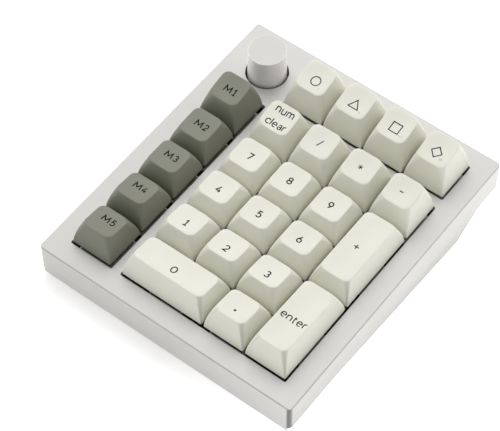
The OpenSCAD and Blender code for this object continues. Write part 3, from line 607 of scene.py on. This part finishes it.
def glyph(letter):
    """Width and pen strokes of a letter or digit, where a capital is 1 high and a small x is 0.72."""
    arch = oval(0.28, 0.44, 0.28, 0.28, 180, 0, 12)
    small_arch = oval(0.24, 0.46, 0.24, 0.26, 180, 0, 12)
    letters = {
        "0": (0.76, [oval(0.38, 0.5, 0.38, 0.5, 0, 360, 32)]),
        "1": (0.5, [[(0.02, 0.8), (0.27, 1), (0.27, 0)], [(0, 0), (0.52, 0)]]),
        "2": (0.62, [oval(0.31, 0.7, 0.28, 0.3, 165, -35) + [(0.02, 0), (0.62, 0)]]),
        "3": (0.6, [oval(0.28, 0.75, 0.25, 0.25, 150, -90), oval(0.28, 0.25, 0.31, 0.25, 90, -155)]),
        "4": (0.64, [[(0.42, 1), (0, 0.27), (0.64, 0.27)], [(0.45, 0.5), (0.45, 0)]]),
        "5": (0.6, [[(0.54, 1), (0.12, 1), (0.08, 0.56)] + oval(0.28, 0.32, 0.32, 0.32, 115, -145)]),
        "6": (0.6, [oval(0.3, 0.3, 0.3, 0.3, 0, 360, 28), [(0.44, 1), (0.03, 0.43)]]),
        "7": (0.6, [[(0, 1), (0.6, 1), (0.2, 0)]]),
        "8": (0.64, [oval(0.32, 0.75, 0.25, 0.25, 0, 360, 24), oval(0.32, 0.26, 0.32, 0.26, 0, 360, 28)]),
        "9": (0.6, [oval(0.3, 0.7, 0.3, 0.3, 0, 360, 28), [(0.57, 0.57), (0.16, 0)]]),
        "M": (1.16, [[(0, 0), (0.12, 1), (0.58, 0.28), (1.04, 1), (1.16, 0)]]),
        "n": (0.56, [[(0, 0), (0, 0.72)], arch + [(0.56, 0)]]),
        "u": (0.56, [[(0.56, 0), (0.56, 0.72)], [(0, 0.72)] + oval(0.28, 0.28, 0.28, 0.28, 180, 360)]),
        "m": (0.96, [[(0, 0), (0, 0.72)], small_arch + [(0.48, 0)],
                     [(x + 0.48, y) for x, y in small_arch] + [(0.96, 0)]]),
        "c": (0.54, [oval(0.34, 0.36, 0.34, 0.36, 48, 312)]),
        "l": (0.0, [[(0, 0), (0, 1.08)]]),
        "e": (0.62, [[(0.04, 0.38), (0.62, 0.38)] + oval(0.32, 0.36, 0.31, 0.36, 8, 308, 20)]),
        "a": (0.5, [oval(0.27, 0.48, 0.23, 0.24, 150, 0, 10) + [(0.5, 0)],
                    oval(0.26, 0.2, 0.24, 0.2, 0, 360, 22)]),
        "r": (0.34, [[(0, 0), (0, 0.72)], oval(0.28, 0.42, 0.28, 0.3, 175, 78, 8)]),
        "t": (0.38, [[(0.13, 0.95), (0.13, 0.16)] + oval(0.27, 0.16, 0.14, 0.16, 180, 285, 8),
                     [(0, 0.7), (0.38, 0.7)]]),
    }
    return letters[letter]


def short_steps(path, longest=0.6):
    """The same path with more points, so that long strokes follow the dish."""
    points = [path[0]]
    for (x0, y0), (x1, y1) in zip(path, path[1:]):
        parts = max(1, math.ceil(math.hypot(x1 - x0, y1 - y0) / longest))
        points += [(mix(x0, x1, i / parts), mix(y0, y1, i / parts)) for i in range(1, parts + 1)]
    return points


def word(text, height, line, gap=0.3):
    """The strokes of a word, centred about the middle of its capitals' height."""
    total = sum(glyph(letter)[0] for letter in text) + gap * (len(text) - 1)
    x = -total / 2
    bands = []
    for letter in text:
        width, strokes = glyph(letter)
        for path in strokes:
            placed = [((x + px) * height, (py - 0.5) * height) for px, py in path]
            ring = math.dist(placed[0], placed[-1]) < 1e-6
            points = placed[:-1] if ring else short_steps(placed)
            bands.append(band_outline(points, line, closed=ring))
        x += width + gap
    return bands


def moved_all(bands, dx, dy):
    return [moved(band, dx, dy) for band in bands]


def shape_legend(name):
    """A circle, triangle, square or diamond drawn with an even line."""
    paths = {
        "circle": polygon_path(40, 1.95, 0, 1),
        "triangle": polygon_path(3, 2.5, 90),
        "square": polygon_path(4, 2.8, 45),
        "diamond": polygon_path(4, 2.3, 0),
    }
    return [band_outline(paths[name], LINE)]


def faint_marks(name):
    """Small pairing marks near the front right corner: one, two or three dots, or three arcs."""
    x, y = 3.5, -3.2
    if name == "diamond":
        return [band_outline(arc_path(x - 0.4, y - 0.6, r, 45, 135), FINE_LINE, closed=False)
                for r in (0.4, 0.8, 1.2)]
    count = ("circle", "triangle", "square").index(name) + 1
    return [dot(x + (i - (count - 1) / 2) * 0.7, y, 0.2) for i in range(count)]


def stroke(x0, y0, x1, y1, line=LINE):
    """A straight line of even width."""
    return band_outline(short_steps([(x0, y0), (x1, y1)]), line, closed=False)


def operator_legend(sign):
    if sign == "-":
        return [stroke(-0.8, 0, 0.8, 0)]
    if sign == "+":
        return [stroke(-1.05, 0, 1.05, 0), stroke(0, 1.05, 0, -1.05)]
    if sign == "/":
        return [stroke(-0.7, -1.5, 0.7, 1.5)]
    if sign == "*":
        turns = [math.radians(30 + 60 * i) for i in range(3)]
        return [stroke(-0.95 * math.cos(a), -0.95 * math.sin(a), 0.95 * math.cos(a), 0.95 * math.sin(a),
                       0.3) for a in turns]
    return [dot(0, 0, 0.5)]


def legend_parts(legend):
    """The dark outlines and the faint small ones of a legend, in mm about the legend's middle."""
    if legend in ("circle", "triangle", "square", "diamond"):
        return shape_legend(legend), faint_marks(legend)
    if legend == "num clear":
        return (moved_all(word("num", WORD_HEIGHT, WORD_LINE), 0.1, 3.25)
                + moved_all(word("clear", WORD_HEIGHT, WORD_LINE, 0.26), 0, -2.85)), []
    if legend == "enter":
        return moved_all(word("enter", ENTER_HEIGHT, WORD_LINE, 0.26), 0, 0.1), []
    if legend in ("-", "+", "/", "*", "."):
        return operator_legend(legend), []
    if legend.startswith("M"):
        return word(legend, MACRO_HEIGHT, MACRO_LINE, 0.42), []
    return word(legend, DIGIT_HEIGHT, DIGIT_LINE), []


def lay_on_cap(bm, shape, flat, material_index, lift=0.0):
    """Makes a thin closed plate from a flat outline, following the cap's top face."""
    points, faces = flat
    upper, lower = [], []
    for x, y in points:
        z = shape.face_z(x, y) + lift
        upper.append(bm.verts.new((x, y, z + LEGEND_PROUD)))
        lower.append(bm.verts.new((x, y, z - LEGEND_THICK)))
    edges = {}
    for face in faces:
        made = [bm.faces.new([upper[i] for i in face]), bm.faces.new([lower[i] for i in reversed(face)])]
        for f in made:
            f.material_index = material_index
        for a, b in zip(face, face[1:] + face[:1]):
            edges[(a, b)] = edges.get((a, b), 0) + 1
    for a, b in edges:
        if (b, a) not in edges:
            side = bm.faces.new((upper[b], upper[a], lower[a], lower[b]))
            side.material_index = material_index


def make_keycap(node, spec):
    column, row, wide, deep, top, legend, spot = spec
    shape = CapShape(wide, deep, top)
    bm = bmesh.new()
    cap_skin(bm, shape)
    roof = min(shape.front_z, shape.back_z) - CAP_ROOF
    for x, y in stem_places(wide, deep):
        cap_post(bm, x, y, roof)
    bmesh.ops.recalc_face_normals(bm, faces=bm.faces)
    dark, faint = legend_parts(legend)
    for i, flat in enumerate(dark):
        lay_on_cap(bm, shape, moved(flat, *spot), 1, LEGEND_STEP * (i % 3))
    for flat in faint:
        lay_on_cap(bm, shape, flat, 2)
    place = DECK @ Matrix.Translation(key_centre(column, row))
    # Keycaps by the case's open edges take the cream copy with painted corner shade
    cream = CREAM_PAINTED_CORNER_SHADE if node in KEYS_WITH_PAINTED_CORNER_SHADE else CREAM
    body, ink = (SAGE, SAGE_INK) if "macro" in node else (cream, INK)
    cap = add_object("cap_" + node[4:], bm, [body, ink, FAINT_INK], place, sharp_deg=30)
    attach(cap, node)
    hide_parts(node)


# ---- switch and stabiliser sliders, which stand in for the ones in the key nodes ----

STABILISER_X = 11.9


def stem_places(wide, deep):
    offsets = (-STABILISER_X, 0, STABILISER_X) if wide > 1 or deep > 1 else (0,)
    return [(0, -o) if deep > 1 else (o, 0) for o in offsets]


def add_box(bm, x, y, z, bevel=0.0):
    corners = [bm.verts.new((a, b, c)) for c in z for b in y for a in x]
    quads = [(0, 1, 3, 2), (4, 6, 7, 5), (0, 4, 5, 1), (2, 3, 7, 6), (0, 2, 6, 4), (1, 5, 7, 3)]
    faces = [bm.faces.new([corners[i] for i in q]) for q in quads]
    if bevel:
        edges = list({e for f in faces for e in f.edges})
        bmesh.ops.bevel(bm, geom=edges, offset=bevel, segments=2, affect="EDGES", profile=0.5)


def slider_mesh(bm, dx, dy, turned):
    """A cross on a block."""
    add_box(bm, (dx - 2, dx + 2), (dy - 0.62, dy + 0.62), (0.8, 4.2), 0.12)
    add_box(bm, (dx - 0.62, dx + 0.62), (dy - 2, dy + 2), (0.8, 4.2), 0.12)
    half = (2.75, 3.5) if turned else (3.5, 2.75)
    add_box(bm, (dx - half[0], dx + half[0]), (dy - half[1], dy + half[1]), (-3.8, 0.9), 0.15)


def make_sliders(node, spec):
    column, row, wide, deep = spec[:4]
    place = DECK @ Matrix.Translation(key_centre(column, row))
    bm = bmesh.new()
    slider_mesh(bm, 0, 0, False)
    add_box(bm, (-4.3, 4.3), (-2.75, 2.75), (-3.8, -0.55), 0.15)
    lathe(bm, [(0, -8.6), (0.85, -8.6), (1.05, -8.3), (1.05, -3.6), (0, -3.6)], steps=24)
    slider = add_object("slider_" + node[4:], bm, [RED], place)
    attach(slider, node)
    if wide > 1 or deep > 1:
        bm = bmesh.new()
        for dx, dy in stem_places(wide, deep):
            if dx or dy:
                stabiliser_slider(bm, dx, dy, deep > 1)
        ends = add_object("stabiliser_sliders_" + node[4:], bm, [BLACK], place)
        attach(ends, node)


def stabiliser_slider(bm, dx, dy, turned):
    """A hollow block with a cross on top; the wire's arm reaches into the pocket near its foot."""
    add_box(bm, (dx - 2, dx + 2), (dy - 0.62, dy + 0.62), (0.8, 4.2), 0.12)
    add_box(bm, (dx - 0.62, dx + 0.62), (dy - 2, dy + 2), (0.8, 4.2), 0.12)
    arm_z = -8.6 + 8.4 * math.tan(math.radians(12.8))
    low, high = arm_z - 1.8, arm_z + 1.8

    def part(x, y, z):
        if turned:
            x, y = y, (-x[1], -x[0])
        add_box(bm, (dx + x[0], dx + x[1]), (dy + y[0], dy + y[1]), z, 0.1)

    part((-2.7, 2.7), (-2.9, 2.9), (high, 0.9))
    part((-2.7, 2.7), (-2.9, 2.9), (-9.0, low))
    part((-2.7, -1.1), (-2.9, 2.9), (low - 0.2, high + 0.2))
    part((1.1, 2.7), (-2.9, 2.9), (low - 0.2, high + 0.2))
    part((-1.2, 1.2), (1.5, 2.9), (low - 0.2, high + 0.2))


# ---- switch springs ----

SPRING_RADIUS = 2.0
SPRING_WIRE = 0.16
SPRING_FOOT = -10.0
SPRING_HEAD = -3.95


def make_spring(node, spec):
    """A coil from the switch's floor to the slider."""
    column, row = spec[:2]
    coils, steps, sides = 7.5, 22, 6
    low, high = SPRING_FOOT + SPRING_WIRE, SPRING_HEAD - SPRING_WIRE
    count = int(coils * steps)
    bm = bmesh.new()
    rings = []
    for i in range(count + 1):
        share = i / count
        turn = 2 * math.pi * coils * share
        rise = low + (high - low) * spring_rise(share)
        outward = Vector((math.cos(turn), math.sin(turn), 0))
        centre = outward * SPRING_RADIUS + Vector((0, 0, rise))
        around = [2 * math.pi * k / sides for k in range(sides)]
        rings.append(add_ring(bm, [centre + outward * (SPRING_WIRE * math.cos(a))
                                   + Vector((0, 0, SPRING_WIRE * math.sin(a))) for a in around]))
    for a, b in zip(rings, rings[1:]):
        join_rings(bm, a, b)
    bm.faces.new(rings[0])
    bm.faces.new(rings[-1])
    place = DECK @ Matrix.Translation(key_centre(column, row))
    spring = add_object("spring_" + node[4:], bm, [STEEL], place)
    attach(spring, "base")
    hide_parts("switch_springs")
    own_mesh(spring)


def spring_rise(share):
    """Height along the spring: the first and last coils lie nearly flat."""
    end = 1 / 7.5
    if share < end:
        return 0.45 * end * share / end
    if share > 1 - end:
        return 1 - 0.45 * end * (1 - share) / end
    return mix(0.45 * end, 1 - 0.45 * end, (share - end) / (1 - 2 * end))


# ---- knob ----

def arc_profile(cx, cz, radius, start_deg, end_deg, steps=6):
    turns = [math.radians(mix(start_deg, end_deg, i / steps)) for i in range(steps + 1)]
    return [(cx + radius * math.cos(a), cz + radius * math.sin(a)) for a in turns]


def make_knob():
    radius, rim_radius, top, skirt = 8.0, 7.6, 13.5, -0.9
    edge = 0.2
    profile = [(0, 0.4), (4.4, 0.4), (4.4, 7.0), (6.6, 7.0), (6.6, skirt)]
    profile += arc_profile(radius - 0.2, skirt + 0.2, 0.2, -90, 0, 3)
    profile += arc_profile(rim_radius - edge, top - edge, edge, 0, 90)
    profile += [(7.0, top), (5.5, top), (3.0, top), (1.2, top), (0, top)]
    bm = bmesh.new()
    lathe(bm, profile, steps=160)
    # The top's faces take the copy with painted shade
    for face in bm.faces:
        if min(v.co.z for v in face.verts) > top - 0.01:
            face.material_index = 1
    place = DECK @ Matrix.Translation(key_centre(SIDE_COLUMN, TOP_ROW))
    knob = add_object("knob_turned", bm, [KNOB_SIDE_PAINTED_REFLECTION, KNOB_TOP_PAINTED_SHADE], place, sharp_deg=50)
    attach(knob, "knob")
    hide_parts("knob")


# ---- case edges ----

def soften_case():
    for name, width in (("top_case", 0.00018), ("bottom_case", 0.0003)):
        obj = frame["nodes"][name]
        bevel = obj.modifiers.new("soft_edges", "BEVEL")
        bevel.width = width
        bevel.segments = 2
        bevel.limit_method = "ANGLE"
        bevel.angle_limit = math.radians(30)
        bevel.harden_normals = True


# ---- studio ----

CAMERA_AZIMUTH = 33.51
CAMERA_ELEVATION = 51.02
CAMERA_ROLL = 4.66
CAMERA_DISTANCE = 773.9
CAMERA_TARGET = (-3.9, -9.4, 0)
CAMERA_LENS = 147.3


def make_camera():
    a, e, r = (math.radians(v) for v in (CAMERA_AZIMUTH, CAMERA_ELEVATION, CAMERA_ROLL))
    back = Vector((math.sin(a) * math.cos(e), -math.cos(a) * math.cos(e), math.sin(e)))
    level = Vector((math.cos(a), math.sin(a), 0))
    up = back.cross(level)
    right = level * math.cos(r) + up * math.sin(r)
    up = back.cross(right)
    camera = bpy.data.cameras.new("camera")
    camera.lens = CAMERA_LENS
    camera.sensor_width = 36
    camera.clip_start, camera.clip_end = 0.05, 20
    obj = bpy.data.objects.new("camera", camera)
    bpy.context.scene.collection.objects.link(obj)
    place = DECK @ Vector(CAMERA_TARGET) + back * CAMERA_DISTANCE * MM
    obj.matrix_world = Matrix.Translation(place) @ Matrix((right, up, back)).transposed().to_4x4()
    bpy.context.scene.camera = obj


def make_floor():
    m, nodes, links, bsdf = new_material("pale_floor")
    grain = object_noise(nodes, links, 40, 3)
    factor = map_range(nodes, links, grain.outputs["Fac"], 0, 1)
    links.new(mix_colours(nodes, links, factor, (0.90, 0.90, 0.90), (0.92, 0.92, 0.92)),
              bsdf.inputs["Base Color"])
    bsdf.inputs["Roughness"].default_value = 0.85
    # The floor glows: painted light, brighter toward the right, that lights the case and lifts its
    # shadows
    bsdf.inputs["Emission Color"].default_value = (1, 1, 1, 1)
    place = nodes.new("ShaderNodeSeparateXYZ")
    links.new(nodes.new("ShaderNodeNewGeometry").outputs["Position"], place.inputs["Vector"])
    glow = map_range(nodes, links, place.outputs["X"], FLOOR_GLOW, FLOOR_GLOW_RIGHT, 0.0, 0.12)
    links.new(glow, bsdf.inputs["Emission Strength"])
    bm = bmesh.new()
    size = 4.0
    ring = add_ring(bm, [(-size, -size, 0), (size, -size, 0), (size, size, 0), (-size, size, 0)])
    bm.faces.new(ring)
    floor = add_object("floor", bm, [m], Matrix.Identity(4), smooth=False)


def area_light(name, place, size, power, colour=(1, 1, 1), aim=(0, 0, 0.02)):
    data = bpy.data.lights.new(name, "AREA")
    data.shape = "RECTANGLE"
    data.size, data.size_y = size
    data.energy = power
    data.color = colour
    obj = bpy.data.objects.new(name, data)
    bpy.context.scene.collection.objects.link(obj)
    obj.location = place
    obj.rotation_mode = "QUATERNION"
    obj.rotation_quaternion = (Vector(place) - Vector(aim)).to_track_quat("Z", "Y")


def sky_share(nodes, links, direction, axis, low, high):
    """How far a direction leans along an axis, from 0 at low to 1 at high."""
    dot = nodes.new("ShaderNodeVectorMath")
    dot.operation = "DOT_PRODUCT"
    links.new(direction, dot.inputs[0])
    dot.inputs[1].default_value = Vector(axis).normalized()
    share = nodes.new("ShaderNodeMapRange")
    share.interpolation_type = "SMOOTHSTEP"
    share.inputs["From Min"].default_value = low
    share.inputs["From Max"].default_value = high
    links.new(dot.outputs["Value"], share.inputs["Value"])
    return share.outputs["Result"]


def combine(nodes, links, operation, a, b):
    node = nodes.new("ShaderNodeMath")
    node.operation = operation
    for socket, value in zip(node.inputs, (a, b)):
        if isinstance(value, (int, float)):
            socket.default_value = value
        else:
            links.new(value, socket)
    return node.outputs["Value"]


SKY_BASE = 0.60
SKY_TOP = 0.10
SKY_LEFT = 0.30
SKY_DARK = 0.56
# Strengths of the floor's painted glow, at the left and toward the right
FLOOR_GLOW = 0.38
FLOOR_GLOW_RIGHT = 1.0


def make_lights():
    """A white tent, brighter at the left and dark on the camera's side, with two soft lights."""
    world = bpy.data.worlds.new("studio")
    bpy.context.scene.world = world
    world.use_nodes = True
    nodes, links = world.node_tree.nodes, world.node_tree.links
    background = nodes["Background"]
    background.inputs["Color"].default_value = (1, 0.995, 0.985, 1)
    direction = nodes.new("ShaderNodeTexCoord").outputs["Generated"]
    overhead = sky_share(nodes, links, direction, (0, 0.25, 1), 0.2, 0.95)
    left = sky_share(nodes, links, direction, (-0.85, -0.4, 0.35), 0.3, 0.95)
    camera_side = sky_share(nodes, links, direction, (0.72, -0.6, 0.34), 0.55, 0.95)
    strength = SKY_BASE
    for share, change in ((overhead, SKY_TOP), (left, SKY_LEFT), (camera_side, -SKY_DARK)):
        part = combine(nodes, links, "MULTIPLY", share, change)
        strength = combine(nodes, links, "ADD", part, strength)
    strength = combine(nodes, links, "MAXIMUM", strength, 0.03)
    seen = nodes.new("ShaderNodeLightPath").outputs["Is Camera Ray"]
    links.new(combine(nodes, links, "MAXIMUM", strength, seen), background.inputs["Strength"])
    area_light("overhead_light", (-0.25, 0.3, 1.0), (0.8, 0.8), 4.6)
    area_light("side_light", (0.75, 0.6, 0.4), (0.5, 0.5), 1.3)


# Painted dark reflections on the top case's cut edge and corner posts
paint_case_edge_reflections(TOP_CASE_PAINTED_REFLECTIONS)
# Painted shade on the corners of the keycaps by the case's open edges
paint_cap_corner_shade(CREAM_PAINTED_CORNER_SHADE, PAINTED_CAP_CORNER_SHADE_COLOUR)
finish_cad_nodes()
soften_case()
for key_node, key_spec in KEYS.items():
    make_keycap(key_node, key_spec)
    make_sliders(key_node, key_spec)
    make_spring(key_node, key_spec)
make_knob()
make_floor()
make_lights()
make_camera()
bpy.context.scene.view_settings.view_transform = "Standard"
